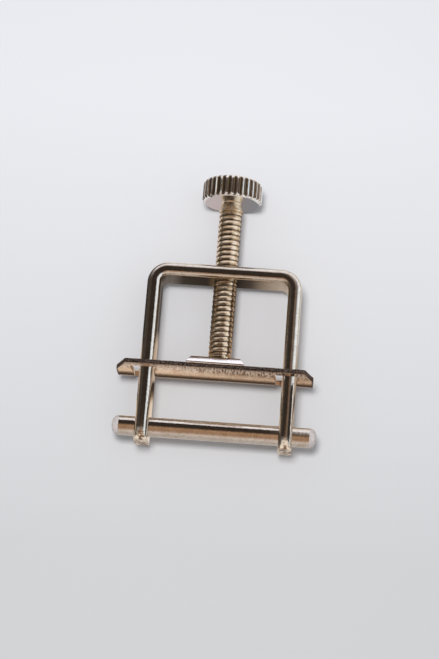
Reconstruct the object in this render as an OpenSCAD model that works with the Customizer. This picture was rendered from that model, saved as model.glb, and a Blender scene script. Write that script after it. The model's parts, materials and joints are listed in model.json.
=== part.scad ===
// Tubing pinch clamp: a strap bent into a yoke, a rod pressed through its feet,
// and a trough-shaped jaw that a thumb screw drives down onto the rod.
// The clamp lies on its back. X runs along the rod, +Y up the screw towards
// the knurled head, and +Z points away from the surface it lies on.

/* [Yoke strap] */
// Clear width between the two legs
clear_width = 25.5; // [20:0.5:36]
// Rod centre to the underside of the top bar
clear_height = 30.5; // [26:0.5:44]
// Thickness of the strap
strap_thickness = 2.75; // [2:0.05:3.5]
// Depth of the strap, front to back
strap_depth = 8.4; // [7.5:0.1:9.2]
// Inside radius of the two bends
bend_radius = 1.4; // [0.8:0.1:3]
// How far a foot reaches below the rod's centre
foot_reach = 3.2; // [3:0.1:5]
// Radius of the two corners of a foot
foot_corner = 1.25; // [0.5:0.05:2.5]

/* [Cross rod] */
// Diameter of the rod
rod_diameter = 3.9; // [3:0.1:5]
// How far each end of the rod stands out of its leg
rod_overhang = 4.7; // [3:0.1:8]
// Rounding of the rod's ends
rod_end_round = 1.4; // [0.4:0.1:1.45]

/* [Jaw] */
// How far the jaw reaches past the outside of each leg
jaw_overhang = 4; // [3.5:0.1:8]
// Width of the strip of jaw in front of and behind each slot
jaw_rail = 1.3; // [0.7:0.05:2]
// Thickness of the jaw sheet
jaw_thickness = 0.95; // [0.6:0.05:1.4]
// Outer radius of the trough
trough_radius = 14; // [10:0.5:20]
// Length that the cut corners take off the jaw's edges, along the jaw
corner_length = 1.75; // [0.5:0.05:3]
// Length that they take off its ends
corner_width = 2.7; // [0.5:0.1:3.5]
// Side play of a leg in its slot, on each side
slot_side_play = 1; // [0.8:0.05:1.2]
// Play of a leg in its slot, front and back
slot_end_play = 0.2; // [0.1:0.02:0.3]
// Radius of the slot's corners
slot_corner = 1.2; // [0.6:0.1:1.6]
// Gap between the rod and the jaw as it stands
jaw_opening = 8.5; // [1:0.5:14]
// How far the jaw and its bridge plate sit to the side of the screw
jaw_offset = -0.6; // [-0.6:0.1:0.6]

/* [Bridge plate] */
// Length of the bridge plate along the jaw
plate_length = 11.4; // [9:0.1:16]
// Height of the bridge plate
plate_height = 1.4; // [1:0.05:2]
// Inset of the plate's sloping sides
plate_bevel = 0.85; // [0.3:0.05:1.2]
// Upright land below the sloping sides
plate_land = 0.2; // [0.1:0.05:0.5]

/* [Thumb screw] */
// Major diameter of the thread
screw_diameter = 4.7; // [4:0.05:5]
// Distance from one crest of the thread to the next
thread_pitch = 1.0583; // [0.7:0.0001:1.3]
// Depth of the thread
thread_depth = 0.32; // [0.2:0.02:0.5]
// Thread left above the top bar when the jaw meets the rod
thread_spare = 3.5; // [0.5:0.1:10]
// How far the collar on the bridge plate stands out past the thread
collar_step = 0.2; // [0.1:0.05:0.6]
// Height of that collar
collar_height = 0.9; // [0.5:0.05:1.5]
// Width of the groove between the thread and the collar
relief_width = 0.45; // [0.3:0.05:0.8]
// Depth of that groove
relief_depth = 0.5; // [0.2:0.05:0.6]
// Diameter of the swivel neck in the bridge plate
neck_diameter = 2.9; // [2.2:0.05:3.1]
// How far the riveted head stands out past the neck
rivet_lip = 0.65; // [0.4:0.05:0.9]
// Thickness of the riveted head
rivet_thickness = 0.5; // [0.3:0.05:0.6]

/* [Knurled head] */
// Diameter of the knurled head
head_diameter = 12.15; // [11:0.05:16]
// Thickness of the knurled head
head_height = 4.55; // [3:0.05:6]
// Number of flutes round the head
flute_count = 32; // [24:4:40]
// Radius of the cutter that makes a flute
flute_radius = 0.45; // [0.3:0.05:0.55]
// Depth of a flute
flute_depth = 0.38; // [0.2:0.02:0.45]
// Rounding of the head's top edge
head_round = 1.1; // [0.5:0.1:1.5]
// Chamfer of the head's bottom edge
head_chamfer = 0.6; // [0.4:0.05:1]
// Height of the plain hub between the head and the thread
hub_height = 2.05; // [1:0.05:3]
// Depth of the recess round the hub, measured from the thread's crests
hub_recess = 0.35; // [0.1:0.05:0.6]
// Height of the bead at the hub's lower end
bead_height = 0.55; // [0.3:0.05:0.9]
// How far the bead stands out past the thread
bead_step = 0.1; // [0.05:0.05:0.5]

/* [Fits] */
// Radial clearance of the screw in the top bar
thread_clearance = 0.06; // [0.02:0.01:0.1]
// Radial clearance of the rod in the legs
rod_clearance = 0.01; // [0:0.005:0.02]
// Radial clearance of the swivel neck in the bridge plate
neck_clearance = 0.05; // [0.02:0.01:0.1]
// End play of the swivel neck, above and below the bridge plate
neck_end_play = 0.04; // [0.02:0.01:0.1]
// Solder film between the bridge plate and the rims of the trough
solder_film = 0.02; // [0:0.01:0.05]

/* [Hidden] */
$fn = 96;
past = 1; // how far a cutter runs past the face it cuts
nickel = "#cfc8bd";
warm_nickel = "#c4b8a6";

leg_centre = (clear_width + strap_thickness) / 2;
outer_width = clear_width + 2 * strap_thickness;
bend_centre_x = clear_width / 2 - bend_radius;
bend_centre_y = clear_height - bend_radius;
bar_top = clear_height + strap_thickness;
rod_length = outer_width + 2 * rod_overhang;
rod_radius = rod_diameter / 2;

jaw_bottom = rod_radius + jaw_opening;
jaw_length = outer_width + 2 * jaw_overhang;
slot_width = strap_thickness + 2 * slot_side_play;
slot_depth = strap_depth + 2 * slot_end_play;
slot_round = min(slot_corner, slot_width / 2);
jaw_width = slot_depth + 2 * jaw_rail;
trough_axis = jaw_bottom + trough_radius;
trough_inner_radius = trough_radius - jaw_thickness;
trough_half_angle = asin(jaw_width / 2 / trough_radius);
rim_y = trough_axis - trough_inner_radius * cos(trough_half_angle);

plate_width = 2 * (trough_radius - jaw_thickness / 2) * sin(trough_half_angle);
plate_bottom = rim_y + solder_film;
plate_top = plate_bottom + plate_height;
collar_bottom = plate_top + neck_end_play;
relief_bottom = collar_bottom + collar_height;
thread_bottom = relief_bottom + relief_width;
thread_length = bar_top - thread_bottom + jaw_opening + thread_spare;
thread_top = thread_bottom + thread_length;
head_bottom = thread_top + hub_height;
head_top = head_bottom + head_height;
rivet_top = plate_bottom - neck_end_play;
head_radius = head_diameter / 2;
screw_radius = screw_diameter / 2;
groove_count = floor(thread_length / thread_pitch);
groove_mouth = thread_pitch * 7 / 8; // leaves a crest one eighth of the pitch wide
groove_floor = groove_mouth - 2 * thread_depth * tan(30);
first_groove = thread_bottom + (thread_length - (groove_count - 1) * thread_pitch) / 2;

// The origin is under the middle of the clamp, on the surface it lies on.
middle_y = (head_top - foot_reach) / 2;

// Moves what is drawn about the rod's centre to its place on the surface.
module laid() {
    translate([0, -middle_y, head_radius]) children();
}

// Turns a body of revolution about Z so that its axis points along +Y.
module along_y() {
    rotate([-90, 0, 0]) children();
}

// Section of the strap: flat faces and fully rounded edges, thickness along X.
module strap_section() {
    straight = strap_depth - strap_thickness;
    square([strap_thickness, straight], center = true);
    for (side = [-1, 1])
        translate([0, side * straight / 2]) circle(d = strap_thickness);
}

// One straight leg, from beyond the foot to the start of the bend.
module leg_blank() {
    translate([leg_centre, -foot_reach - past, 0])
        along_y()
            linear_extrude(bend_centre_y + foot_reach + past)
                strap_section();
}

// The outline of a leg with the two round corners of its foot, seen along X.
module foot_outline() {
    corner_y = foot_corner - foot_reach;
    corner_z = strap_depth / 2 - foot_corner;
    rotate([90, 0, 90])
        linear_extrude(outer_width / 2 + past) {
            for (side = [-1, 1])
                translate([corner_y, side * corner_z]) circle(r = foot_corner);
            translate([-foot_reach, -corner_z])
                square([foot_corner, 2 * corner_z]);
            translate([corner_y, -strap_depth / 2 - past])
                square([bar_top + past, strap_depth + 2 * past]);
        }
}

module leg() {
    difference() {
        intersection() {
            leg_blank();
            foot_outline();
        }
        rotate([0, 90, 0])
            cylinder(r = rod_radius + rod_clearance, h = outer_width / 2 + past);
    }
}

// A quarter turn of the strap, in the upper corner on the +X side.
module bend() {
    translate([bend_centre_x, bend_centre_y, 0])
        rotate_extrude(angle = 90)
            translate([bend_radius + strap_thickness / 2, 0])
                strap_section();
}

module top_bar() {
    difference() {
        translate([-bend_centre_x, clear_height + strap_thickness / 2, 0])
            rotate([90, 0, 90])
                linear_extrude(2 * bend_centre_x)
                    strap_section();
        translate([0, clear_height - past, 0])
            along_y()
                cylinder(r = screw_radius + thread_clearance, h = strap_thickness + 2 * past);
    }
}

module frame() {
    color(nickel) laid() {
        top_bar();
        for (side = [0, 1])
            mirror([side, 0, 0]) {
                leg();
                bend();
            }
    }
}

module cross_rod() {
    barrel = rod_length - 2 * rod_end_round;
    nose = rod_radius - rod_end_round;
    color(nickel) laid()
        rotate([0, 90, 0]) {
            cylinder(r = rod_radius, h = barrel, center = true);
            cylinder(r = nose, h = rod_length, center = true);
            for (side = [-1, 1])
                translate([0, 0, side * barrel / 2])
                    rotate_extrude()
                        translate([nose, 0])
                            intersection() {
                                circle(r = rod_end_round);
                                translate([0, -rod_end_round])
                                    square(2 * rod_end_round);
                            }
        }
}

module rounded_rectangle(length, width, radius) {
    square([length, width - 2 * radius], center = true);
    square([length - 2 * radius, width], center = true);
    for (x = [-1, 1], y = [-1, 1])
        translate([x * (length / 2 - radius), y * (width / 2 - radius)])
            circle(r = radius);
}

// The jaw's outline, with its four corners cut off.
module cut_rectangle(length, width) {
    x = length / 2;
    y = width / 2;
    polygon([
        [corner_length - x, -y], [x - corner_length, -y],
        [x, corner_width - y], [x, y - corner_width],
        [x - corner_length, y], [corner_length - x, y],
        [-x, y - corner_width], [-x, corner_width - y]
    ]);
}

// A curved sheet with its hollow towards the screw, cut square to its faces.
module trough() {
    reach = trough_radius / cos(trough_half_angle) + past;
    half_reach = reach * sin(trough_half_angle);
    drop = reach * cos(trough_half_angle);
    translate([-jaw_length / 2, trough_axis, 0])
        rotate([90, 0, 90])
            linear_extrude(jaw_length)
                intersection() {
                    difference() {
                        circle(r = trough_radius);
                        circle(r = trough_inner_radius);
                    }
                    polygon([[0, 0], [-drop, half_reach], [-drop, -half_reach]]);
                }
}

module jaw() {
    height = rim_y - jaw_bottom + 2 * past;
    color(warm_nickel) laid() translate([jaw_offset, 0, 0])
        difference() {
            intersection() {
                trough();
                translate([0, jaw_bottom - past, 0])
                    along_y()
                        linear_extrude(height)
                            cut_rectangle(jaw_length, jaw_width);
            }
            for (side = [-1, 1])
                translate([side * leg_centre, jaw_bottom - past, 0])
                    along_y()
                        linear_extrude(height)
                            rounded_rectangle(slot_width, slot_depth, slot_round);
        }
}

// One direction of the plate's sloping sides, as a bar along Z.
module bevelled_bar(width, length) {
    half = width / 2;
    translate([0, 0, -length / 2])
        linear_extrude(length)
            polygon([
                [-half, 0], [half, 0], [half, plate_land],
                [half - plate_bevel, plate_height],
                [plate_bevel - half, plate_height], [-half, plate_land]
            ]);
}

module bridge_plate() {
    color(nickel) laid()
        difference() {
            translate([jaw_offset, plate_bottom, 0])
                intersection() {
                    bevelled_bar(plate_length, plate_width);
                    rotate([0, 90, 0]) bevelled_bar(plate_width, plate_length);
                }
            translate([0, plate_bottom - past, 0])
                along_y()
                    cylinder(d = neck_diameter + 2 * neck_clearance, h = plate_height + 2 * past);
        }
}

// Outline of the head, for a revolve: rounded above and chamfered below.
module head_profile() {
    polygon([
        [0, 0], [head_radius - head_chamfer, 0], [head_radius, head_chamfer],
        [head_radius, head_height - head_round],
        [head_radius - head_round, head_height - head_round],
        [head_radius - head_round, head_height], [0, head_height]
    ]);
    intersection() {
        translate([head_radius - head_round, head_height - head_round])
            circle(r = head_round);
        translate([head_radius - head_round, head_height - head_round])
            square(head_round);
    }
}

module knurled_head() {
    cutter = head_radius - flute_depth + flute_radius;
    difference() {
        rotate_extrude() head_profile();
        for (i = [0 : flute_count - 1])
            rotate((i + 0.5) * 360 / flute_count)
                translate([cutter, 0, -past])
                    cylinder(r = flute_radius, h = head_height + 2 * past, $fn = 24);
    }
}

// One plain step of the turned shank.
module spool(from, height, radius) {
    translate([0, 0, from]) cylinder(r = radius, h = height);
}

// The thread as a row of ring grooves at its pitch.
module ringed_thread() {
    root = screw_radius - thread_depth;
    grooves = [
        for (i = [0 : groove_count - 1], corner = [
            [screw_radius, -groove_mouth], [root, -groove_floor],
            [root, groove_floor], [screw_radius, groove_mouth]
        ])
            [corner[0], first_groove + i * thread_pitch + corner[1] / 2]
    ];
    rotate_extrude()
        polygon(concat(
            [[0, thread_bottom], [screw_radius, thread_bottom]],
            grooves,
            [[screw_radius, thread_top], [0, thread_top]]
        ));
}

// The turned part below the head: hub, thread, groove, collar, neck and rivet.
module shank() {
    spool(thread_top, hub_height, screw_radius - hub_recess);
    spool(thread_top, bead_height, screw_radius + bead_step);
    ringed_thread();
    spool(relief_bottom, relief_width, screw_radius - relief_depth);
    spool(collar_bottom, collar_height, screw_radius + collar_step);
    spool(rivet_top, collar_bottom - rivet_top, neck_diameter / 2);
    spool(rivet_top - rivet_thickness, rivet_thickness, neck_diameter / 2 + rivet_lip);
}

module thumb_screw() {
    color(nickel) laid() along_y() {
        translate([0, 0, head_bottom]) knurled_head();
        shank();
    }
}

frame();
cross_rod();
jaw();
bridge_plate();
thumb_screw();
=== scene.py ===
import json
import math

import bmesh
import bpy
from mathutils import Matrix, Vector, noise


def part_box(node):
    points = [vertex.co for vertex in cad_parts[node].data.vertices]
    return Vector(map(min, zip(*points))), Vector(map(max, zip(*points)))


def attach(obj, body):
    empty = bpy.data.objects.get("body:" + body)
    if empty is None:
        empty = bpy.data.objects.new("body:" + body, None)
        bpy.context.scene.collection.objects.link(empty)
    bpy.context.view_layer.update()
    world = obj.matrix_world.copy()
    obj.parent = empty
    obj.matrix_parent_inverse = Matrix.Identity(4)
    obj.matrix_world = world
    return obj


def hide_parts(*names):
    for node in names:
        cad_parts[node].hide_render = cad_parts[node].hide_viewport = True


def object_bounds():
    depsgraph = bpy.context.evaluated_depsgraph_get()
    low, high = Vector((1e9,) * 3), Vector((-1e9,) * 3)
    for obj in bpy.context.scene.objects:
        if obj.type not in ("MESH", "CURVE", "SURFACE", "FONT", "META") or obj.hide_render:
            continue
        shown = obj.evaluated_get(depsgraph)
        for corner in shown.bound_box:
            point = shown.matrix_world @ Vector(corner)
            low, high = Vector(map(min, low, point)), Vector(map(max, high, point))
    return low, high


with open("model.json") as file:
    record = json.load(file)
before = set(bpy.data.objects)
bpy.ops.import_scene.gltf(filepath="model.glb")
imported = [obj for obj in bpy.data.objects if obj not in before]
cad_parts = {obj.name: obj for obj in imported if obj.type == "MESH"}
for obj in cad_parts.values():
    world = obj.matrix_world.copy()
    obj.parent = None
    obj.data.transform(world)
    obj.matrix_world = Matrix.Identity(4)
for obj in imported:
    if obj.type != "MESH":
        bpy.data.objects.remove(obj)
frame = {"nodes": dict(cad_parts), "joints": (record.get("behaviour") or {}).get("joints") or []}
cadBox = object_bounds()
print("frame loaded:", ", ".join(sorted(frame["nodes"])))

mm = 0.001
weldGap = 0.002 * mm             # points closer than this become one
screwAxis = Vector(frame["joints"][1]["pos_m"])  # any point on the screw's axis, which runs along +Y


def sceneObject(name, data):
    obj = bpy.data.objects.new(name, data)
    bpy.context.scene.collection.objects.link(obj)
    return obj


def meshObject(name, verts, faces):
    mesh = bpy.data.meshes.new(name)
    mesh.from_pydata(verts, [], faces)
    return sceneObject(name, mesh)


def gridFaces(rows, columns, closed=True):
    # joins each row of points to the next one, round a ring or along an open strip
    faces = []
    for row in range(rows - 1):
        for column in range(columns if closed else columns - 1):
            a = row * columns + column
            b = row * columns + (column + 1) % columns
            faces.append((a, b, b + columns, a + columns))
    return faces


def cleanMesh(obj, mergeDistance=weldGap, sharpAngle=40):
    bm = bmesh.new()
    bm.from_mesh(obj.data)
    bmesh.ops.remove_doubles(bm, verts=bm.verts, dist=mergeDistance)
    bmesh.ops.dissolve_degenerate(bm, edges=bm.edges, dist=mergeDistance)
    bmesh.ops.recalc_face_normals(bm, faces=bm.faces)
    bm.to_mesh(obj.data)
    bm.free()
    for face in obj.data.polygons:
        face.use_smooth = True
    obj.data.set_sharp_from_angle(angle=math.radians(sharpAngle))


def applyModifiers(obj):
    graph = bpy.context.evaluated_depsgraph_get()
    baked = bpy.data.meshes.new_from_object(obj.evaluated_get(graph))
    obj.modifiers.clear()
    obj.data = baked


def combine(obj, other, operation):
    # welds or cuts two closed meshes, and throws the second away
    step = obj.modifiers.new(operation.lower(), "BOOLEAN")
    step.operation = operation
    step.solver = "MANIFOLD"
    step.object = other
    applyModifiers(obj)
    bpy.data.objects.remove(other)


def filletedOutline(corners, steps=8):
    # corners are (x, y, radius), in order round the outline
    points = []
    for i, (x, y, radius) in enumerate(corners):
        here = Vector((x, y))
        before = Vector(corners[i - 1][:2]) - here
        after = Vector(corners[(i + 1) % len(corners)][:2]) - here
        half = before.angle(after) / 2
        centre = here + (before.normalized() + after.normalized()).normalized() * radius / math.sin(half)
        start = here + before.normalized() * radius / math.tan(half) - centre
        side = 1 if before.x * after.y - before.y * after.x < 0 else -1
        for k in range(steps + 1):
            turn = Matrix.Rotation(side * (math.pi - 2 * half) * k / steps, 2)
            points.append(centre + turn @ start)
    return points


def latheAlongX(name, profile, centre, steps):
    # profile is (distance along the axis, radius), from one pole to the other
    verts = []
    for along, radius in profile:
        for k in range(steps):
            angle = 2 * math.pi * k / steps
            verts.append(centre + Vector((along, radius * math.cos(angle), radius * math.sin(angle))))
    obj = meshObject(name, verts, gridFaces(len(profile), steps))
    cleanMesh(obj)
    return obj


def latheAlongY(name, profile, centre, steps):
    obj = latheAlongX(name, profile, Vector(), steps)
    for vert in obj.data.vertices:
        x, y, z = vert.co
        vert.co = (centre.x + y, centre.y + x, centre.z - z)
    cleanMesh(obj)
    return obj


def drill(obj, lathe, reach, radius, centre, steps):
    # cuts a round hole, from one place to the other along the lathe's axis
    start, end = reach
    pin = lathe("pin", [(start, 0), (start, radius), (end, radius), (end, 0)], centre, steps)
    combine(obj, pin, "DIFFERENCE")


def arcPoints(centreAlong, centreRadius, radius, fromDegrees, toDegrees, steps=8):
    # part of a circle on a lathe profile, with its angles measured from the axis direction
    points = []
    for k in range(steps + 1):
        angle = math.radians(fromDegrees + (toDegrees - fromDegrees) * k / steps)
        points.append((centreAlong + radius * math.cos(angle), centreRadius + radius * math.sin(angle)))
    return points


def ease(value, low, high):
    # a smooth step from 0 to 1
    share = min(max((value - low) / (high - low), 0), 1)
    return share * share * (3 - 2 * share)


def softLimit(value, limit, softness):
    # min(value, limit), with the corner rounded off
    gap = value - limit
    if gap < -softness:
        return value
    if gap > softness:
        return limit
    return value - (gap + softness) ** 2 / (4 * softness)


def paint(obj, name, amountAt):
    # stores an amount from 0 to 1 at each point, such as how bare the metal is for "cut"
    layer = obj.data.attributes.new(name, "FLOAT", "POINT")
    layer.data.foreach_set("value", [amountAt(vert.co) for vert in obj.data.vertices])


def opaque(colour):
    # a plain colour gets its alpha, and another node's output stays as it is
    return colour + (1,) if isinstance(colour, tuple) else colour


class TreeBuilder:
    def __init__(self, tree):
        self.tree = tree

    def add(self, kind, links=None, **settings):
        # settings are the node's own choices, and links give a socket a value or another node's output
        made = self.tree.nodes.new(kind)
        for name, value in settings.items():
            setattr(made, name, value)
        for socket, source in (links or {}).items():
            if isinstance(source, bpy.types.NodeSocket):
                self.tree.links.new(source, made.inputs[socket])
            else:
                made.inputs[socket].default_value = source
        return made

    def math(self, operation, a, b=0.0):
        return self.add("ShaderNodeMath", {0: a, 1: b}, operation=operation).outputs[0]

    def split(self, place):
        return self.add("ShaderNodeSeparateXYZ", {0: place}).outputs

    def spread(self, value, source, target=(0, 1)):
        # maps one range to another, and holds the ends
        return self.add("ShaderNodeMapRange", {"Value": value, "From Min": source[0], "From Max": source[1],
                                               "To Min": target[0], "To Max": target[1]}).outputs[0]

    def blend(self, factor, first, second):
        colours = {0: factor, 6: opaque(first), 7: opaque(second)}
        return self.add("ShaderNodeMix", colours, data_type="RGBA").outputs[2]

    def colours(self, value, stops, unit):
        # a run of colours from (place, colour) pairs, with the places in this unit
        low, high = stops[0][0], stops[-1][0]
        ramp = self.add("ShaderNodeValToRGB", {0: self.spread(value, (low * unit, high * unit))})
        marks = ramp.color_ramp.elements
        marks[0].position, marks[0].color = 0, opaque(stops[0][1])
        marks[-1].position, marks[-1].color = 1, opaque(stops[-1][1])
        for place, colour in stops[1:-1]:
            marks.new((place - low) / (high - low)).color = opaque(colour)
        return ramp.outputs[0]


class ShapeBuilder(TreeBuilder):
    # a Geometry Nodes tree with named inputs
    def __init__(self, name, inputs):
        super().__init__(bpy.data.node_groups.new(name, "GeometryNodeTree"))
        face = self.tree.interface
        face.new_socket("Geometry", in_out="INPUT", socket_type="NodeSocketGeometry")
        face.new_socket("Geometry", in_out="OUTPUT", socket_type="NodeSocketGeometry")
        for socket, kind in inputs + [("Merge Distance", "Float"), ("Material", "Material")]:
            face.new_socket(socket, in_out="INPUT", socket_type="NodeSocket" + kind)
        self.inputs = self.tree.nodes.new("NodeGroupInput").outputs
        self.output = self.tree.nodes.new("NodeGroupOutput").inputs[0]

    def finish(self, geometry):
        real = self.add("GeometryNodeRealizeInstances", {"Geometry": geometry})
        merged = self.add("GeometryNodeMergeByDistance",
                          {"Geometry": real.outputs[0], "Distance": self.inputs["Merge Distance"]})
        painted = self.add("GeometryNodeSetMaterial",
                           {"Geometry": merged.outputs[0], "Material": self.inputs["Material"]})
        self.tree.links.new(painted.outputs[0], self.output)
        return self.tree


def growWith(obj, tree, values):
    # sets the named inputs first, evaluates once and keeps the plain mesh
    step = obj.modifiers.new(tree.name, "NODES")
    step.node_group = tree
    for item in tree.interface.items_tree:
        if item.item_type == "SOCKET" and item.in_out == "INPUT" and item.name in values:
            step[item.identifier] = values[item.name]
    applyModifiers(obj)


class FinishBuilder(TreeBuilder):
    # a material whose patterns read Object coordinates
    def __init__(self, name):
        self.material = bpy.data.materials.new(name)
        self.material.use_nodes = True
        super().__init__(self.material.node_tree)
        self.surface = self.tree.nodes["Principled BSDF"]
        self.place = self.add("ShaderNodeTexCoord").outputs["Object"]

    def noise(self, size, detail, stretch=(1, 1, 1)):
        place = self.add("ShaderNodeMapping", {"Vector": self.place, "Scale": stretch}).outputs[0]
        texture = self.add("ShaderNodeTexNoise", {"Vector": place, "Scale": 1 / size, "Detail": detail})
        return texture.outputs["Fac"]

    def painted(self, name):
        return self.add("ShaderNodeAttribute", attribute_name=name).outputs["Fac"]

    def bump(self, height, strength, depth, under=None):
        links = {"Height": height, "Strength": strength, "Distance": depth}
        if under is not None:
            links["Normal"] = under
        return self.add("ShaderNodeBump", links).outputs[0]

    def glow(self, colour):
        return self.add("ShaderNodeEmission", {"Color": opaque(colour)}).outputs[0]

    def wire(self, socket, source):
        self.tree.links.new(source, self.surface.inputs[socket])

    def show(self, shader):
        self.tree.links.new(shader, self.tree.nodes["Material Output"].inputs["Surface"])


# a pair of edges is where a noise starts to show as patches, and where it shows in full
brightNickel = {
    "colour": (0.68, 0.63, 0.56),
    "shade": (0.6, 0.54, 0.46),
    "mottleSize": 1.6 * mm,
    "mottleEdges": (0.35, 0.65),
    "speck": (0.25, 0.18, 0.13),
    "speckSize": 0.4 * mm,
    "speckEdges": (0.54, 0.66),
    "speckShare": 0.2,           # of a speck's own colour
    "gloss": (0.06, 0.14),       # roughness, from the clearest parts to the most smeared ones
    "smearSize": 0.9 * mm,
    "smearEdges": (0.3, 0.7),
    "grainSize": 0.3 * mm,       # the fine unevenness and the broad one
    "grainDepth": 0.018 * mm,
    "waveSize": 1.5 * mm,
    "waveDepth": 0.012 * mm,
    "brass": (1.0, 0.86, 0.68),  # bare metal on cut edges
    "brassShade": (0.2, 0.1, 0.04),
    "brassGrain": 0.8 * mm,
    "brassEdges": (0.44, 0.57),
    "chipDepth": 0.16 * mm,
    "cutRoughness": 0.38,
    "cutMetallic": 0.35,
}


def platedMetal(name, look):
    # bright plate with soft mottling, a fine orange-peel grain and, where "cut" is painted, bare rough brass
    s = FinishBuilder(name)
    cut = s.painted("cut")
    mottle = s.spread(s.noise(look["mottleSize"], 4), look["mottleEdges"])
    plate = s.blend(mottle, look["colour"], look["shade"])
    specks = s.spread(s.noise(look["speckSize"], 3), look["speckEdges"], (0, look["speckShare"]))
    plate = s.blend(specks, plate, look["speck"])
    if "stroke" in look:         # drawing marks across the rims of the trough
        lines = s.spread(s.noise(look["strokeSize"], 2, look["strokeStretch"]), look["strokeEdges"])
        plate = s.blend(s.math("MULTIPLY", s.painted("strip"), lines), plate, look["stroke"])
    if "upper" in look:          # another tone above this height
        above = s.spread(s.split(s.place)["Y"], (look["upperFrom"], look["upperFrom"] + look["upperFade"]))
        plate = s.blend(above, plate, look["upper"])
    metallic = s.spread(cut, (0, 1), (1, look["cutMetallic"]))
    if "grimeAndShade" in look:          # grime and painted shade in the roots of the thread and the knurl, and stain on the thread
        root, grimeShadeFrom = s.painted("root"), look["grimeShadeFrom"]
        patches = s.spread(s.noise(look["stainSize"], 2), look["stainEdges"])
        stain = s.blend(patches, look["stain"], look["stainShade"])
        grimedAndShaded = s.blend(s.spread(root, (grimeShadeFrom, 1)), stain, look["grimeAndShade"])
        plate = s.blend(s.spread(root, (0, grimeShadeFrom)), plate, grimedAndShaded)
        metallic = s.spread(root, (0, grimeShadeFrom), (1, look["stainMetallic"]))
    brassMottle = s.spread(s.noise(look["brassGrain"], 5), look["brassEdges"])
    brass = s.blend(brassMottle, look["brass"], look["brassShade"])
    s.wire("Base Color", s.blend(cut, plate, brass))
    gloss = s.spread(s.noise(look["smearSize"], 3), look["smearEdges"], look["gloss"])
    rough = s.add("ShaderNodeMix", {0: cut, 2: gloss, 3: look["cutRoughness"]}, data_type="FLOAT")
    s.wire("Roughness", rough.outputs[0])
    s.wire("Metallic", metallic)
    fine = s.bump(s.noise(look["grainSize"], 2), 1.0, look["grainDepth"])
    broad = s.bump(s.noise(look["waveSize"], 1), 1.0, look["waveDepth"], fine)
    s.wire("Normal", s.bump(s.noise(look["brassGrain"], 4), cut, look["chipDepth"], broad))
    return s.material


def finishPiece(obj, material, body, node):
    obj.data.materials.clear()
    obj.data.materials.append(material)
    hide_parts(node)
    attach(obj, body)


# the yoke is a strap with rounded edges, bent twice, with two rounded corners on each foot
yokeValues = {
    "thickness": 2.75 * mm,      # of the strap
    "bendRadius": 1.4 * mm,      # inside the two bends
    "edgeSteps": 14,             # round each edge of the strap
    "bendSteps": 20,
    "legSteps": 24,
    "barSteps": 12,              # from a bend to the middle of the bar
    "footCorner": 1.25 * mm,     # radius of the two corners of a foot
    "footSteps": 16,
    "soleSteps": 3,              # from the middle of a foot's end to a corner
    "footSoftness": 0.16 * mm,   # of the corner between the strap's edge and the cut foot
    "footRaggedness": 0.05 * mm,
    "ragSize": 0.5 * mm,
    "bareInside": (0.3 * mm, 0.08 * mm),    # from a foot's outline, where bare metal starts and is full
    "bareAbove": (0.15 * mm, 0.5 * mm),     # from the corners' height, where it fades and ends
    "rodPlay": 0.01 * mm,
    "screwPlay": 0.06 * mm,
    "boreSteps": 96,
}


def yokeStations(box):
    # centre, direction across the thickness, and half the width, from the right foot round to the left one
    v = yokeValues
    low, high = box
    foot = v["footCorner"]
    halfDepth = (high.z - low.z) / 2
    flat = halfDepth - foot
    cornerY = low.y + foot
    legX = high.x - v["thickness"] / 2
    barY = high.y - v["thickness"] / 2
    turn = v["bendRadius"] + v["thickness"] / 2
    sideways, upwards = Vector((1, 0)), Vector((0, 1))
    half = [(Vector((legX, low.y)), sideways, flat * k / v["soleSteps"]) for k in range(v["soleSteps"])]
    for k in range(v["footSteps"]):
        angle = math.pi / 2 * k / v["footSteps"]
        centre = Vector((legX, cornerY - foot * math.cos(angle)))
        half.append((centre, sideways, flat + foot * math.sin(angle)))
    legLength = barY - turn - cornerY
    for k in range(v["legSteps"] + 1):
        half.append((Vector((legX, cornerY + legLength * k / v["legSteps"])), sideways, halfDepth))
    for k in range(1, v["bendSteps"] + 1):
        angle = math.pi / 2 * k / v["bendSteps"]
        across = Vector((math.cos(angle), math.sin(angle)))
        half.append((Vector((legX - turn, barY - turn)) + across * turn, across, halfDepth))
    for k in range(1, v["barSteps"] + 1):
        half.append((Vector(((legX - turn) * (1 - k / v["barSteps"]), barY)), upwards, halfDepth))
    mirrored = [(Vector((-p.x, p.y)), Vector((-a.x, a.y)), reach) for p, a, reach in half[-2::-1]]
    return half + mirrored


def strapRing(thickness, depth, steps):
    ring = []
    edgeRadius = thickness / 2
    straight = depth / 2 - edgeRadius
    for side in (1, -1):
        for k in range(steps + 1):
            angle = math.pi * k / steps
            up = straight + edgeRadius * math.sin(angle)
            ring.append((side * edgeRadius * math.cos(angle), side * up))
    return ring


def footBareness(place, halfDepth):
    # 1 on the cut end of a foot and 0 on the drawn faces of the strap; place is from the corners' height
    v = yokeValues
    corner = v["footCorner"]
    away = math.hypot(place.y, max(abs(place.z) - halfDepth + corner, 0))
    inside = ease(away, corner - v["bareInside"][0], corner - v["bareInside"][1])
    return inside * (1 - ease(place.y, *v["bareAbove"]))


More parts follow.
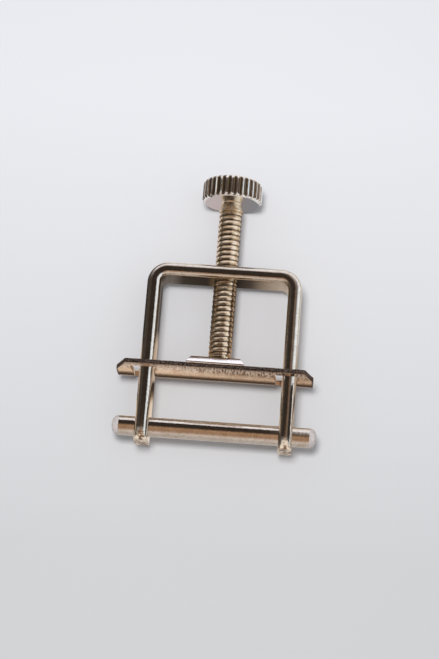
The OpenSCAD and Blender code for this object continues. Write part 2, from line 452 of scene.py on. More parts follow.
def makeYoke():
    v = yokeValues
    low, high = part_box("frame")
    halfDepth = (high.z - low.z) / 2
    middle = (high.z + low.z) / 2
    ring = strapRing(v["thickness"], 2 * halfDepth, v["edgeSteps"])
    stations = yokeStations((low, high))
    verts = []
    for centre, across, reach in stations:
        for thick, up in ring:
            soft = min(v["footSoftness"], reach)
            size = softLimit(abs(up), reach, soft) if soft > 0 else 0
            point = centre + across * thick
            verts.append((point.x, point.y, middle + math.copysign(size, up)))
    yoke = meshObject("yoke", verts, gridFaces(len(stations), len(ring)))
    cleanMesh(yoke, 2 * weldGap)
    rodLow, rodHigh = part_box("cross_rod")
    rodBore = (rodHigh.z - rodLow.z) / 2 + v["rodPlay"]
    past = high.x + mm
    drill(yoke, latheAlongX, (-past, past), rodBore, (rodLow + rodHigh) / 2, v["boreSteps"])
    barTop = Vector((screwAxis.x, high.y, screwAxis.z))
    barReach = (-v["thickness"] - mm, mm)
    drill(yoke, latheAlongY, barReach, screwValues["majorRadius"] + v["screwPlay"], barTop, v["boreSteps"])
    cleanMesh(yoke, weldGap / 2)
    corner = Vector((0, low.y + v["footCorner"], middle))
    paint(yoke, "cut", lambda p: footBareness(p - corner, halfDepth))
    for vert in yoke.data.vertices:
        place = vert.co - corner
        if place.y < 0 and footBareness(place, halfDepth) > 0.5:
            shake = noise.noise(vert.co / v["ragSize"]) * v["footRaggedness"]
            beyond = max(abs(place.z) - halfDepth + v["footCorner"], 0)
            outward = Vector((0, place.y, math.copysign(beyond, place.z)))
            vert.co += outward.normalized() * (shake - v["footRaggedness"])
    return yoke


rodValues = {
    "endRound": 1.4 * mm,
    "endSteps": 14,
    "matteEdges": (-0.05 * mm, 0.1 * mm),   # past the start of its rounding, where an end turns matte
    "steps": 96,
}
rodLook = dict(brightNickel, brass=(0.63, 0.575, 0.555), brassShade=(0.54, 0.485, 0.465), cutRoughness=0.45,
               cutMetallic=0.1, chipDepth=0.04 * mm)


def makeRod():
    v = rodValues
    low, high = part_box("cross_rod")
    centre = (low + high) / 2
    half = (high.x - low.x) / 2
    radius = (high.z - low.z) / 2
    end = v["endRound"]
    right = arcPoints(half - end, radius - end, end, 90, 0, v["endSteps"])
    left = [(-along, out) for along, out in reversed(right)]
    matteFrom, matteFull = (half - end + edge for edge in v["matteEdges"])
    shaft = [(-matteFrom, radius), (matteFrom, radius)]
    profile = [(-half, 0)] + left + shaft + right + [(half, 0)]
    rod = latheAlongX("crossRod", profile, centre, v["steps"])
    paint(rod, "cut", lambda p: ease(abs(p.x), matteFrom, matteFull))
    return rod


# the jaw is a flat sheet with two flared slots, curved into a trough
jawValues = {
    "thickness": 0.95 * mm,
    "troughRadius": 14 * mm,     # outside
    "cornerLength": 1.75 * mm,   # that the cut corners take off, along the jaw
    "cornerWidth": 2.75 * mm,    # and across it
    "cornerRound": 0.7 * mm,
    "rail": 1.3 * mm,            # sheet left in front of and behind each slot
    "slotEnd": 5.3 * mm,         # width of a slot at its two ends
    "slotWaist": 4.05 * mm,      # and round its middle
    "waistLength": 4.0 * mm,
    "waistRound": 1.2 * mm,      # radius where the waist begins
    "slotCorner": 0.45 * mm,
    "edgeRound": 0.14 * mm,
    "gridStep": 0.32 * mm,
    "raggedness": 0.075 * mm,    # of the sheared rims
    "ragSize": 0.55 * mm,
    "ragStretch": (1, 3, 2),     # along the jaw, across it and through it
    "ragRim": (0.35 * mm, 0.05 * mm),       # from a rim, where the rags start and are full
    "ragInside": (0.4 * mm, 0.9 * mm),      # and from the outside of the trough
    "bareRim": (0.03, 0.004),    # from a rim in radians, where bare metal starts and is full
    "bareEdge": (0.08 * mm, 0.3 * mm),      # from an end or a cut corner, where it fades and ends
    "strokeRim": (0.22, 0.1),    # from a rim in radians, where the drawing marks start and are full
    "strokeAlong": (-9 * mm, 1 * mm),       # and along the jaw, from the fewest of them to all
    "strokeLeast": 0.3,
}
jawLook = dict(brightNickel, colour=(0.78, 0.68, 0.58), shade=(0.66, 0.52, 0.42), gloss=(0.09, 0.18),
               brass=(0.16, 0.11, 0.085), brassShade=(0.02, 0.015, 0.012), brassGrain=0.32 * mm,
               cutRoughness=0.5, cutMetallic=0.8, speckShare=0.5, stroke=(0.2, 0.13, 0.09),
               strokeSize=0.28 * mm, strokeStretch=(1, 0.22, 0.22), strokeEdges=(0.47, 0.6))


def slotCorners(centreX, halfDepth):
    v = jawValues
    end, waist, middle = v["slotEnd"] / 2, v["slotWaist"] / 2, v["waistLength"] / 2
    small, wide = v["slotCorner"], v["waistRound"]
    shape = [(-end, halfDepth, small), (-waist, middle, wide), (-waist, -middle, wide),
             (-end, -halfDepth, small), (end, -halfDepth, small), (waist, -middle, wide),
             (waist, middle, wide), (end, halfDepth, small)]
    return [(centreX + x, y, radius) for x, y, radius in shape]


def flatSheet(name, outline, holes, thickness, edgeRound):
    # a filled outline with holes, given a thickness and rounded edges
    curve = bpy.data.curves.new(name, "CURVE")
    curve.dimensions = "2D"
    curve.fill_mode = "BOTH"
    for points in [outline] + holes:
        spline = curve.splines.new("POLY")
        spline.points.add(len(points) - 1)
        spline.use_cyclic_u = True
        for point, place in zip(spline.points, points):
            point.co = (place.x, place.y, 0, 1)
    curve.extrude = thickness / 2 - edgeRound
    curve.bevel_depth = edgeRound
    curve.bevel_resolution = 2
    curve.offset = -edgeRound
    draft = sceneObject(name + "Draft", curve)
    mesh = bpy.data.meshes.new_from_object(draft.evaluated_get(bpy.context.evaluated_depsgraph_get()))
    bpy.data.objects.remove(draft)
    return sceneObject(name, mesh)


def sliceMesh(obj, step, reachX, reachY):
    # cuts the flat faces into a grid, so that they can be bent
    bm = bmesh.new()
    bm.from_mesh(obj.data)
    bmesh.ops.remove_doubles(bm, verts=bm.verts, dist=weldGap)
    for axis, reach in ((0, reachX), (1, reachY)):
        count = int(reach / step)
        for k in range(-count, count + 1):
            place, normal = [0, 0, 0], [0, 0, 0]
            place[axis] = (k + 0.5) * step * 0.999    # just beside the sheet's own corners
            normal[axis] = 1
            everything = bm.verts[:] + bm.edges[:] + bm.faces[:]
            bmesh.ops.bisect_plane(bm, geom=everything, plane_co=place, plane_no=normal, dist=weldGap / 2)
    bm.to_mesh(obj.data)
    bm.free()


def makeJaw():
    v = jawValues
    low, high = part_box("jaw")
    half = Vector(((high.x - low.x) / 2, (high.z - low.z) / 2))
    centre = Vector(((low.x + high.x) / 2, low.y + v["troughRadius"], (low.z + high.z) / 2))
    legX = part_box("frame")[1].x - yokeValues["thickness"] / 2
    length, width, soft = v["cornerLength"], v["cornerWidth"], v["cornerRound"]
    long, wide = half.x - length, half.y - width
    outline = filletedOutline([(-long, -half.y, soft), (long, -half.y, soft), (half.x, -wide, soft),
                               (half.x, wide, soft), (long, half.y, soft), (-long, half.y, soft),
                               (-half.x, wide, soft), (-half.x, -wide, soft)])
    holes = [filletedOutline(slotCorners(side * legX, half.y - v["rail"])) for side in (-1, 1)]
    jaw = flatSheet("jawSheet", outline, holes, v["thickness"], v["edgeRound"])
    sliceMesh(jaw, v["gridStep"], half.x, half.y)
    stretch = Vector(v["ragStretch"])
    for vert in jaw.data.vertices:
        x, w, t = vert.co
        depth = t + v["thickness"] / 2               # 0 on the outside of the trough
        shake = noise.noise(vert.co * stretch / v["ragSize"]) * v["raggedness"]
        rim = ease(abs(w), half.y - v["ragRim"][0], half.y - v["ragRim"][1])
        angle = math.asin(max(min(w / v["troughRadius"], 1), -1))
        angle -= math.copysign(rim * (abs(shake) / v["troughRadius"]), w)
        radius = v["troughRadius"] - depth + rim * shake * ease(depth, *v["ragInside"])
        vert.co = centre + Vector((x, -radius * math.cos(angle), radius * math.sin(angle)))
    cleanMesh(jaw, sharpAngle=50)
    rimAngle = math.asin(half.y / v["troughRadius"])

    def angleAt(p):
        return math.atan2(abs(p.z - centre.z), centre.y - p.y)

    def bareness(p):
        # on the sheared rims, the cut corners and the two ends
        fromEnd = half.x - abs(p.x - centre.x)
        fromRim = half.y - v["troughRadius"] * math.sin(angleAt(p))
        fromCorner = (fromEnd * width + fromRim * length - length * width) / math.hypot(length, width)
        onRim = ease(angleAt(p), rimAngle - v["bareRim"][0], rimAngle - v["bareRim"][1])
        return max(onRim, 1 - ease(min(fromEnd, fromCorner), *v["bareEdge"]))

    def stroked(p):
        share = v["strokeLeast"] + (1 - v["strokeLeast"]) * ease(p.x, *v["strokeAlong"])
        return share * ease(angleAt(p), rimAngle - v["strokeRim"][0], rimAngle - v["strokeRim"][1])

    paint(jaw, "cut", bareness)
    paint(jaw, "strip", stroked)
    return jaw


# the bridge plate is a block with sloping sides, soldered across the trough
plateValues = {
    "bevel": 0.85 * mm,
    "land": 0.2 * mm,            # upright part of its sides
    "edgeRound": 0.1 * mm,
    "edgeSteps": 3,
    "boreRadius": 1.5 * mm,
    "boreSteps": 64,
    "topTone": 0.26 * mm,        # how far down the sides the tone of the top starts
}
plateLook = dict(brightNickel, colour=(0.93, 0.9, 0.9), shade=(0.88, 0.84, 0.84), gloss=(0.08, 0.12),
                 speckShare=0.15, grainDepth=0.006 * mm, upper=(0.42, 0.27, 0.11), upperFade=0.08 * mm,
                 upperFrom=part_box("bridge_plate")[1].y - plateValues["topTone"])


def makePlate():
    v = plateValues
    low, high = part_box("bridge_plate")
    verts = []
    for y, inset in ((low.y, 0), (low.y + v["land"], 0), (high.y, v["bevel"])):
        x0, x1, z0, z1 = low.x + inset, high.x - inset, low.z + inset, high.z - inset
        verts += [(x0, y, z0), (x1, y, z0), (x1, y, z1), (x0, y, z1)]
    plate = meshObject("bridgePlate", verts, [(0, 1, 2, 3), (8, 9, 10, 11)] + gridFaces(3, 4))
    cleanMesh(plate)
    underside = Vector((screwAxis.x, low.y, screwAxis.z))
    drill(plate, latheAlongY, (-mm, high.y - low.y + mm), v["boreRadius"], underside, v["boreSteps"])
    soften = plate.modifiers.new("soften", "BEVEL")
    soften.width = v["edgeRound"]
    soften.segments = v["edgeSteps"]
    soften.limit_method = "ANGLE"
    soften.angle_limit = math.radians(25)
    applyModifiers(plate)
    cleanMesh(plate, sharpAngle=30)
    return plate


# the thumb screw has a knurled head, a threaded shank and a swivel end
screwValues = {
    "majorRadius": 2.35 * mm,
    "pitch": 25.4 / 24 * mm,
    "threadDepth": 0.15 * mm,
    "crestShare": 0.06,          # of the pitch that the flat crest takes
    "edgeSoftness": 0.14,        # 0 for a sharp edge between crest and groove
    "paintedHighlightLine": 0.12,          # where the painted highlight line and the painted shade line run, in turns past the crest
    "highlightLineEdges": (0.06, 0.14),            # turns from it, where it starts to fade and where it ends
    "paintedShadeLine": 0.62,
    "shadeLineEdges": (0.08, 0.2),
    "rowsPerTurn": 24,
    "threadSteps": 72,           # round one turn
    "turnSteps": 96,             # round the hub and the swivel
    "overlap": 0.1 * mm,         # that the turned parts reach into each other, to be joined
    "hubRadius": 2.0 * mm,
    "hubHeight": 2.05 * mm,
    "hubFillet": 0.3 * mm,       # under the head
    "hubWear": 0.7,              # 1 for bare brass
    "wearFade": 0.2 * mm,
    "beadRadius": 2.45 * mm,     # of the bead between the hub and the thread
    "beadHeight": 0.55 * mm,
    "beadSweep": (180, 30),      # degrees, from the thread to where the bead meets the hub's fillet
    "headHeight": 4.55 * mm,
    "headRound": 1.1 * mm,       # of the top edge
    "roundSteps": 12,
    "headChamfer": 0.6 * mm,     # of the bottom edge
    "sideSteps": 6,              # down the head's side, and again down its chamfer
    "flutes": 32,
    "fluteRadius": 0.45 * mm,
    "fluteDepth": 0.42 * mm,
    "fluteSoftness": 0.05 * mm,
    "fluteGrimeShadeDepths": (0.05 * mm, 0.32 * mm),   # how deep the grime and painted shade in a flute start and where they are full
    "wedgeSteps": 12,            # across one tooth of the knurl
    "neckRadius": 1.45 * mm,
    "collarRadius": 2.55 * mm,
    "collarHeight": 0.9 * mm,
    "grooveRadius": 1.85 * mm,
    "grooveWidth": 0.45 * mm,
    "endPlay": 0.04 * mm,
    "rivetRadius": 2.1 * mm,
    "rivetThickness": 0.5 * mm,
    "edgeRound": 0.12 * mm,      # of the collar and the rivet
}
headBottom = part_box("thumb_screw")[1].y - screwValues["headHeight"]
# the grime colour is grime and painted shade in the thread's dark line and the knurl's flutes
screwLook = dict(brightNickel, brass=(1.0, 0.88, 0.7), brassShade=(0.7, 0.5, 0.28), chipDepth=0.03 * mm,
                 cutRoughness=0.5, colour=(0.74, 0.63, 0.47), shade=(0.6, 0.46, 0.3),
                 stain=(0.74, 0.58, 0.42), stainShade=(0.42, 0.28, 0.15), stainSize=1.1 * mm,
                 stainEdges=(0.45, 0.6), stainMetallic=0.86, grimeAndShade=(0.14, 0.1, 0.06), grimeShadeFrom=0.6,
                 upper=(0.76, 0.74, 0.71), upperFade=0.08 * mm, upperFrom=headBottom - 0.1 * mm)


def fluteLimit(angle, headRadius):
    # how far out a tooth reaches at this angle from the middle of the nearest flute
    v = screwValues
    cutter = headRadius - v["fluteDepth"] + v["fluteRadius"]
    across = cutter * math.sin(abs(angle))
    if across >= v["fluteRadius"]:
        return headRadius
    return cutter * math.cos(angle) - math.sqrt(v["fluteRadius"] ** 2 - across ** 2)


def headTooth(headRadius):
    # one sector of the head, from the middle of one flute to the middle of the next
    v = screwValues
    height, top, chamfer, steps = v["headHeight"], v["headRound"], v["headChamfer"], v["sideSteps"]
    side = height - top - chamfer
    rounding = arcPoints(height - top, headRadius - top, top, 90, 0, v["roundSteps"])
    underRings, topRings = (0, 0.5, 0.72), (0.72, 0.5, 0.25, 0)    # as shares of the radius
    profile = [(headRadius * share, 0) for share in underRings] + [(headRadius - chamfer - 0.3 * mm, 0)]
    profile += [(headRadius - chamfer * (1 - k / steps), chamfer * k / steps) for k in range(steps + 1)]
    profile += [(headRadius, chamfer + side * k / steps) for k in range(1, steps)]
    profile += [(out, along) for along, out in rounding]
    profile += [(headRadius * share, height) for share in topRings]
    sector = 2 * math.pi / v["flutes"]
    verts = []
    columns = v["wedgeSteps"] + 1
    for radius, up in profile:
        for k in range(columns):
            angle = sector * (k / v["wedgeSteps"] - 0.5)
            reach = fluteLimit(sector / 2 - abs(angle), headRadius)
            out = softLimit(radius, reach, v["fluteSoftness"])
            verts.append((out * math.cos(angle), headBottom + up, out * math.sin(angle)))
    return meshObject("knurledHead", verts, gridFaces(len(profile), columns, closed=False))


def knurlTree():
    b = ShapeBuilder("knurl", [("Tooth Count", "Int")])
    # as many points on the axis as there are teeth, each turned a little further
    seats = b.add("GeometryNodeMeshLine", {"Count": b.inputs["Tooth Count"], "Offset": (0, 0, 0)})
    index = b.add("GeometryNodeInputIndex").outputs[0]
    turn = b.math("DIVIDE", b.math("MULTIPLY", index, 2 * math.pi), b.inputs["Tooth Count"])
    spin = b.add("ShaderNodeCombineXYZ", {"Y": turn}).outputs[0]
    teeth = b.add("GeometryNodeInstanceOnPoints",
                  {"Points": seats.outputs[0], "Instance": b.inputs["Geometry"], "Rotation": spin})
    return b.finish(teeth.outputs[0])


def threadTree():
    # a grid rolled round the axis, each column a little further along, so that its rows follow the helix
    sizes = ("Major Radius", "Thread Depth", "Pitch", "Start", "End", "Crest Share", "Edge Softness")
    counts = ("Rows", "Columns", "Rows Per Turn")
    b = ShapeBuilder("thread", [(name, "Float") for name in sizes] + [(name, "Int") for name in counts])
    grid = b.add("GeometryNodeMeshGrid", {"Size X": 1.0, "Size Y": 1.0, "Vertices X": b.inputs["Columns"],
                                          "Vertices Y": b.inputs["Rows"]})
    index = b.add("GeometryNodeInputIndex").outputs[0]
    row = b.math("MODULO", index, b.inputs["Rows"])
    column = b.math("FLOOR", b.math("DIVIDE", b.math("ADD", index, 0.5), b.inputs["Rows"]))
    share = b.math("DIVIDE", column, b.math("SUBTRACT", b.inputs["Columns"], 1.0))
    phase = b.math("DIVIDE", row, b.inputs["Rows Per Turn"])
    turns = b.math("SUBTRACT", b.math("ADD", phase, share), 1.0)
    along = b.math("ADD", b.inputs["Start"], b.math("MULTIPLY", turns, b.inputs["Pitch"]))
    ends = {"Value": along, "Min": b.inputs["Start"], "Max": b.inputs["End"]}
    kept = b.add("ShaderNodeClamp", ends).outputs[0]
    past = b.math("ABSOLUTE", b.math("SUBTRACT", along, kept))
    inside = b.math("LESS_THAN", past, b.inputs["Merge Distance"])    # rows past an end shrink to its middle
    wave = b.math("MULTIPLY", b.math("PINGPONG", phase, 0.5), 2.0)    # 0 on the crest, 1 in the root
    groove = b.math("DIVIDE", b.math("SUBTRACT", wave, b.inputs["Crest Share"]),
                    b.math("SUBTRACT", 1.0, b.inputs["Crest Share"]))
    soft = b.math("MULTIPLY", b.inputs["Edge Softness"], b.inputs["Edge Softness"])
    bend = b.math("SQRT", b.math("ADD", b.math("MULTIPLY", groove, groove), soft))
    dip = b.math("MULTIPLY", b.math("ADD", groove, bend), 0.5)
    radius = b.math("SUBTRACT", b.inputs["Major Radius"], b.math("MULTIPLY", dip, b.inputs["Thread Depth"]))
    closed = b.math("MULTIPLY", radius, inside)
    angle = b.math("MULTIPLY", share, -2 * math.pi)    # right-handed
    x = b.math("MULTIPLY", closed, b.math("COSINE", angle))
    z = b.math("MULTIPLY", closed, b.math("SINE", angle))
    place = b.add("ShaderNodeCombineXYZ", {"X": x, "Y": kept, "Z": z}).outputs[0]
    rolled = b.add("GeometryNodeSetPosition", {"Geometry": grid.outputs[0], "Position": place})
    return b.finish(rolled.outputs[0])


def makeScrew(material):
    v = screwValues
    low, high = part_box("thumb_screw")
    headRadius = (high.x - low.x) / 2
    threadTop = headBottom - v["hubHeight"]
    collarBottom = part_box("bridge_plate")[1].y + v["endPlay"]
    collarTop = collarBottom + v["collarHeight"]
    threadBottom = collarTop + v["grooveWidth"]

    screw = headTooth(headRadius)
    headWeld = 1.5 * weldGap
    growWith(screw, knurlTree(),
             {"Tooth Count": v["flutes"], "Merge Distance": headWeld, "Material": material})
    cleanMesh(screw, headWeld)
    print("knurled head:", len(screw.data.polygons), "faces")

    thread = meshObject("thread", [(0, 0, 0)], [])
    rows = int((threadTop - threadBottom) / v["pitch"] + 2) * v["rowsPerTurn"] + 1
    growWith(thread, threadTree(), {
        "Major Radius": v["majorRadius"], "Thread Depth": v["threadDepth"], "Pitch": v["pitch"],
        "Start": threadBottom, "End": threadTop + v["overlap"], "Rows": rows, "Columns": v["threadSteps"] + 1,
        "Rows Per Turn": v["rowsPerTurn"], "Crest Share": v["crestShare"], "Edge Softness": v["edgeSoftness"],
        "Merge Distance": weldGap, "Material": material})
    cleanMesh(thread)
    print("thread:", len(thread.data.polygons), "faces")

    hub, collar, groove, neck = v["hubRadius"], v["collarRadius"], v["grooveRadius"], v["neckRadius"]
    soft, fillet, bead = v["edgeRound"], v["hubFillet"], v["beadHeight"] / 2
    hubTop = headBottom + 2 * v["overlap"]
    grooveTop = threadBottom + 3 * v["overlap"]
    rivetTop = low.y + v["rivetThickness"]
    upper = [(threadTop, 0)] + arcPoints(threadTop + bead, v["beadRadius"] - bead, bead, *v["beadSweep"], 10)
    upper += arcPoints(headBottom - fillet, hub + fillet, fillet, -90, 0, 6)
    upper += [(hubTop, hub + fillet), (hubTop, 0)]
    lower = [(low.y, 0)] + arcPoints(low.y + soft, v["rivetRadius"] - soft, soft, 180, 90, 4)
    lower += [(rivetTop, v["rivetRadius"]), (rivetTop, neck), (collarBottom, neck)]
    lower += arcPoints(collarBottom + soft, collar - soft, soft, 180, 90, 4)
    lower += arcPoints(collarTop - soft, collar - soft, soft, 90, 0, 4)
    lower += [(collarTop, groove), (grooveTop, groove), (grooveTop, 0)]
    upperPart = latheAlongY("hub", upper, Vector(), v["turnSteps"])
    lowerPart = latheAlongY("swivel", lower, Vector(), v["turnSteps"])
    for part in (thread, upperPart, lowerPart):
        combine(screw, part, "UNION")
    for vert in screw.data.vertices:
        vert.co += Vector((screwAxis.x, 0, screwAxis.z))
    cleanMesh(screw, weldGap / 2, sharpAngle=38)
    screw.name = "thumbScrew"

    def threadHighlightAndShade(p):
        # 0 on the painted highlight line, full grime and painted shade on the dark one, and stained between
        # them
        share = math.atan2(p.z - screwAxis.z, p.x - screwAxis.x) / (-2 * math.pi) % 1
        phase = (p.y - threadBottom) / v["pitch"] - share
        fromHighlight, fromShadeLine = (abs((phase - v[line] + 0.5) % 1 - 0.5) for line in ("paintedHighlightLine", "paintedShadeLine"))
        stain = screwLook["grimeShadeFrom"]
        grimeAndShade = (1 - stain) * (1 - ease(fromShadeLine, *v["shadeLineEdges"]))
        return stain * ease(fromHighlight, *v["highlightLineEdges"]) + grimeAndShade

    def fluteGrimeAndShade(p):
        # grime and painted shade, by the depth under the head's outline, and 0 on its flat faces
        up = p.y - headBottom
        rounding = max(v["headRound"] - (high.y - p.y), 0)
        outline = headRadius - max(v["headChamfer"] - up, 0) - v["headRound"]
        outline += math.sqrt(max(v["headRound"] ** 2 - rounding ** 2, 0))
        dip = outline - math.hypot(p.x - screwAxis.x, p.z - screwAxis.z)
        return ease(dip, *v["fluteGrimeShadeDepths"]) if dip < v["fluteDepth"] + v["fluteSoftness"] else 0

    def rootDepth(p):
        # grime and painted shade, with the thread's painted highlight line at 0
        if threadBottom < p.y < threadTop:
            return threadHighlightAndShade(p)
        return fluteGrimeAndShade(p) if p.y >= headBottom else 0

    def wear(p):
        fade = v["wearFade"]
        return v["hubWear"] * ease(p.y, threadTop, threadTop + fade) * ease(headBottom - p.y, 0, fade)

    # paints grime and painted shade into the thread and the flutes
    paint(screw, "root", rootDepth)
    paint(screw, "cut", wear)
    return screw


print("building the yoke")
yoke = makeYoke()
finishPiece(yoke, platedMetal("yokeNickel", brightNickel), "frame", "frame")
print("building the rod")
rod = makeRod()
finishPiece(rod, platedMetal("rodNickel", rodLook), "frame", "cross_rod")
print("building the jaw")
jaw = makeJaw()
finishPiece(jaw, platedMetal("jawNickel", jawLook), "jaw", "jaw")
jaw.visible_glossy = False       # the room shows in the rod and the bar past the jaw
print("building the bridge plate")
plate = makePlate()
finishPiece(plate, platedMetal("plateNickel", plateLook), "jaw", "bridge_plate")
print("building the thumb screw")
screwMetal = platedMetal("screwNickel", screwLook)
screw = makeScrew(screwMetal)
finishPiece(screw, screwMetal, "screw", "thumb_screw")


floorValues = {
    "size": 1.6,
    "roughness": 0.9,
    "fade": 0.095,               # from the tone of the foot side to that of the head side
    "headSide": (0.785, 0.783, 0.807),
    "footSide": (0.61, 0.609, 0.618),
    # painted reflections: colours that the floor glows with for glossy rays only, such as a painted shadow
    # under the jaw and dark surroundings on the left, in mm along one axis; each list takes over from the
    # ones before it past an edge, which lies between two places on the other axis
    "mirrored": [
        ("Y", None, None, [
            (-45, (0.62, 0.57, 0.55)), (-28, (0.62, 0.57, 0.55)), (-26, (0.85, 0.77, 0.7)),
            (-23, (0.9, 0.8, 0.72)), (-21, (0.9, 0.75, 0.62)), (-18.3, (0.85, 0.7, 0.56)),
            (-16.8, (0.25, 0.17, 0.11)), (-15.6, (0.06, 0.045, 0.035)), (-14.2, (0.06, 0.045, 0.035)),
            (-13.4, (0.6, 0.47, 0.37)), (-3, (0.6, 0.47, 0.37))]),
        ("Y", "X", (-9, 6), [
            (-45, (0.62, 0.57, 0.55)), (-28, (0.62, 0.57, 0.55)), (-26, (0.56, 0.49, 0.43)),
            (-23, (0.52, 0.42, 0.34)), (-21, (0.52, 0.41, 0.32)), (-18.3, (0.72, 0.58, 0.46)),
            (-16.8, (0.3, 0.2, 0.13)), (-15.6, (0.06, 0.045, 0.035)), (-14.2, (0.06, 0.045, 0.035)),
            (-13.4, (0.6, 0.47, 0.37)), (-3, (0.6, 0.47, 0.37))]),
        ("X", "Y", (-6, -3), [
            (-40, (0.05, 0.045, 0.04)), (-15, (0.06, 0.055, 0.05)), (-12.8, (0.07, 0.06, 0.055)),
            (-11.4, (0.2, 0.18, 0.165)), (-9, (0.06, 0.05, 0.04)), (-4, (0.045, 0.035, 0.03)),
            (-2, (0.2, 0.13, 0.07)), (2, (0.03, 0.025, 0.02)), (5, (0.09, 0.07, 0.06)),
            (8, (0.35, 0.28, 0.22)), (12, (0.6, 0.52, 0.45)), (18, (0.8, 0.8, 0.8)), (40, (0.8, 0.8, 0.8))]),
        ("X", "Y", (9, 11), [
            (-40, (0.07, 0.06, 0.055)), (-28, (0.08, 0.07, 0.065)), (-20, (0.9, 0.88, 0.88)),
            (-8, (0.9, 0.88, 0.88)), (-6.5, (0.62, 0.54, 0.55)), (-2, (0.58, 0.5, 0.5)),
            (1.5, (0.3, 0.27, 0.27)), (6.5, (0.26, 0.28, 0.32)), (8.5, (0.5, 0.5, 0.52)),
            (11, (0.9, 0.88, 0.88)), (40, (0.9, 0.88, 0.88))]),
        ("X", "Y", (25, 29), [
            (-40, (0.07, 0.06, 0.055)), (-28, (0.08, 0.07, 0.065)), (-18, (0.9, 0.88, 0.88)),
            (40, (0.9, 0.88, 0.88))]),
    ],
}


def makeFloor():
    # a pale sheet, darker towards the feet, which the metal sees as a glow of painted reflections instead
    v = floorValues
    half = v["size"] / 2
    corners = [(-half, -half, 0), (half, -half, 0), (half, half, 0), (-half, half, 0)]
    floor = meshObject("floor", corners, [(0, 1, 2, 3)])
    s = FinishBuilder("paleFloor")
    s.surface.inputs["Roughness"].default_value = v["roughness"]
    s.surface.inputs["Specular IOR Level"].default_value = 0.0
    place = s.split(s.place)
    share = s.spread(place["Y"], (-v["fade"] / 2, v["fade"] / 2))
    s.wire("Base Color", s.blend(share, v["footSide"], v["headSide"]))
    mirrored = None
    for axis, turn, edge, stops in v["mirrored"]:
        colours = s.colours(place[axis], stops, mm)
        if mirrored is None:
            mirrored = colours
        else:
            passed = s.spread(place[turn], (edge[0] * mm, edge[1] * mm))
            mirrored = s.blend(passed, mirrored, colours)
    # glossy rays see the painted reflection glow, with its painted shadow, instead of the lit floor
    ray = s.add("ShaderNodeLightPath").outputs["Is Glossy Ray"]
    both = s.add("ShaderNodeMixShader", {0: ray, 1: s.surface.outputs[0], 2: s.glow(mirrored)})
    s.show(both.outputs[0])
    floor.data.materials.append(s.material)


def mirroredCard(name, corners, material):
    # a card that only the metal sees, as a painted dark reflection that casts no light or shadow
    card = meshObject(name, corners, [(0, 1, 2, 3)])
    card.data.materials.append(material)
    for kind in ("camera", "diffuse", "transmission", "shadow", "volume_scatter"):
        setattr(card, "visible_" + kind, False)


overheadValues = {
    "height": 49 * mm,           # above the floor
    "left": (-46 * mm, -34 * mm),           # where each side starts to cover, and where it covers all
    "right": (21 * mm, 12 * mm),
    "foot": (-27 * mm, -15 * mm),
    "head": (50 * mm, 30 * mm),
    "tone": (0.045, 0.034, 0.028),
}


def makeOverhead():
    # a painted dark reflection: a card over the clamp, with soft edges, that only the metal sees
    v = overheadValues
    s = FinishBuilder("overheadDark")
    place = s.split(s.place)
    cover = 1.0
    for side, axis in (("left", "X"), ("right", "X"), ("foot", "Y"), ("head", "Y")):
        cover = s.math("MULTIPLY", s.spread(place[axis], v[side]), cover)
    clear = s.add("ShaderNodeBsdfTransparent").outputs[0]
    s.show(s.add("ShaderNodeMixShader", {0: cover, 1: clear, 2: s.glow(v["tone"])}).outputs[0])
    left, right, foot, head = (v[side][0] for side in ("left", "right", "foot", "head"))
    corners = [(left, foot), (left, head), (right, head), (right, foot)]
    mirroredCard("overhead", [(x, y, v["height"]) for x, y in corners], s.material)


flagValues = {
    "x": 18.5 * mm,
    "y": (-26 * mm, -13.5 * mm),
    "z": (10.5 * mm, 18 * mm),
    "tone": (0.05, 0.04, 0.033),
}


def makeFlag():
    # a painted dark reflection: a small card that stands beside the right leg, which only the metal sees
    v = flagValues
    (foot, head), (low, high) = v["y"], v["z"]
    s = FinishBuilder("flagDark")
    s.show(s.glow(v["tone"]))
    corners = [(foot, low), (head, low), (head, high), (foot, high)]
    mirroredCard("flag", [(v["x"], y, z) for y, z in corners], s.material)


roomValues = {
    "ambient": (0.42, 0.43, 0.445),         # what lights the floor
    "leanFloor": 0.005,          # leaves what is nearly straight up to the first band
    # colours by direction, in degrees from straight up: the head side is -180 to 0, the foot side 0 to 180
    "along": [
        (-180, (0.12, 0.1, 0.09)), (-150, (0.5, 0.45, 0.42)), (-125, (0.8, 0.76, 0.78)),
        (-92, (1.15, 1.12, 1.2)), (-67, (1.25, 1.22, 1.32)), (-50, (0.95, 0.92, 0.97)),
        (-38, (0.62, 0.56, 0.56)), (-26, (0.38, 0.33, 0.32)), (-12, (0.3, 0.2, 0.14)),
        (0, (0.42, 0.25, 0.155)), (12, (0.52, 0.33, 0.215)), (24, (0.46, 0.285, 0.185)),
        (36, (0.46, 0.29, 0.19)), (48, (0.5, 0.34, 0.25)), (60, (0.7, 0.57, 0.49)), (73, (0.8, 0.7, 0.65)),
        (90, (0.74, 0.67, 0.64)), (122, (0.68, 0.6, 0.56)), (150, (0.5, 0.42, 0.36)),
        (168, (0.2, 0.17, 0.15)), (180, (0.12, 0.1, 0.09))],
    # and here the left is -180 to 0, the right 0 to 180
    "across": [
        (-180, (0.09, 0.08, 0.07)), (-116, (0.1, 0.085, 0.07)), (-90, (0.08, 0.07, 0.06)),
        (-60, (0.07, 0.058, 0.047)), (-40, (0.075, 0.062, 0.05)), (-15, (0.045, 0.034, 0.026)),
        (10, (0.045, 0.035, 0.028)), (19, (0.07, 0.06, 0.05)), (33, (0.35, 0.38, 0.42)),
        (47, (1.05, 1.15, 1.27)), (85, (1.27, 1.38, 1.55)), (110, (0.88, 0.97, 1.1)),
        (150, (0.52, 0.57, 0.64)), (172, (0.25, 0.24, 0.23)), (180, (0.13, 0.12, 0.11))],
}


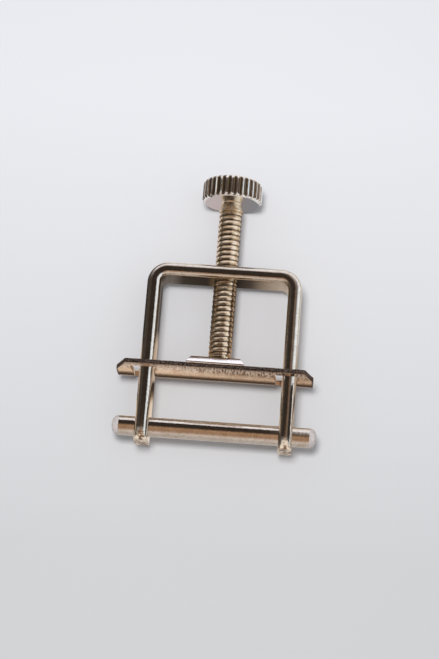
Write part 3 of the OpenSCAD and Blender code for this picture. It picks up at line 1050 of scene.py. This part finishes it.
def makeRoom():
    # two bands of colour cross overhead, and each direction takes more of the band that it leans along
    v = roomValues
    world = bpy.data.worlds.new("room")
    bpy.context.scene.world = world
    world.use_nodes = True
    world.node_tree.nodes.clear()
    r = TreeBuilder(world.node_tree)
    x, y, z = r.split(r.add("ShaderNodeTexCoord").outputs["Generated"])

    def fourthPower(value):
        square = r.math("MULTIPLY", value, value)
        return r.math("MULTIPLY", square, square)

    leanX, leanY = fourthPower(x), fourthPower(y)
    share = r.math("DIVIDE", leanX, r.math("ADD", r.math("ADD", leanX, leanY), v["leanFloor"]))
    along = r.colours(r.math("ARCTAN2", r.math("MULTIPLY", y, -1.0), z), v["along"], math.radians(1))
    across = r.colours(r.math("ARCTAN2", x, z), v["across"], math.radians(1))
    ray = r.add("ShaderNodeLightPath").outputs["Is Glossy Ray"]
    seen = r.blend(ray, v["ambient"], r.blend(share, along, across))
    glow = r.add("ShaderNodeBackground", {"Color": seen})
    r.add("ShaderNodeOutputWorld", {"Surface": glow.outputs[0]})


lampValues = {
    "keyLamp": {"place": (-0.022, -0.009, 0.42), "size": 0.105, "watts": 1.1},
    "fillLamp": {"place": (0.1, -0.1, 0.5), "size": 0.6, "watts": 0.2},
}


def makeLamps(aim):
    for name, v in lampValues.items():
        lamp = bpy.data.lights.new(name, "AREA")
        lamp.shape = "DISK"
        lamp.size = v["size"]
        lamp.energy = v["watts"]
        obj = sceneObject(name, lamp)
        obj.location = v["place"]
        obj.rotation_euler = (aim - obj.location).to_track_quat("-Z", "Y").to_euler()
        obj.visible_glossy = False


cameraValues = {
    "azimuth": 2.80,             # degrees round towards +X
    "lean": 14.17,               # degrees off the vertical, towards the feet
    "roll": 4.57,                # degrees
    "distance": 337.1 * mm,
    "frameHeight": 36,           # millimetres
    "lens": 91.92,               # millimetres, on that height
    "aimOffset": (-0.48 * mm, -3.517 * mm, 0),
}


def makeCamera(middle):
    v = cameraValues
    azimuth, lean, roll = (math.radians(v[key]) for key in ("azimuth", "lean", "roll"))
    back = Vector((math.sin(azimuth) * math.cos(lean), -math.sin(lean), math.cos(azimuth) * math.cos(lean)))
    right = (-back).cross(Vector((0, 1, 0))).normalized()
    up = right.cross(-back)
    rolledRight = right * math.cos(roll) + up * math.sin(roll)
    rolledUp = up * math.cos(roll) - right * math.sin(roll)
    data = bpy.data.cameras.new("camera")
    data.sensor_fit = "VERTICAL"
    data.sensor_height = v["frameHeight"]
    data.lens = v["lens"]
    data.clip_start = 10 * mm
    camera = sceneObject("camera", data)
    stand = Matrix((rolledRight, rolledUp, back)).transposed().to_4x4()
    stand.translation = middle + Vector(v["aimOffset"]) + back * v["distance"]
    camera.matrix_world = stand
    bpy.context.scene.camera = camera


print("setting the floor, the light and the camera")
boxMiddle = (cadBox[0] + cadBox[1]) / 2
makeFloor()
makeOverhead()
makeFlag()
makeRoom()
makeLamps(boxMiddle)
makeCamera(boxMiddle)
bpy.context.scene.view_settings.view_transform = "Standard"

print("all pieces made")
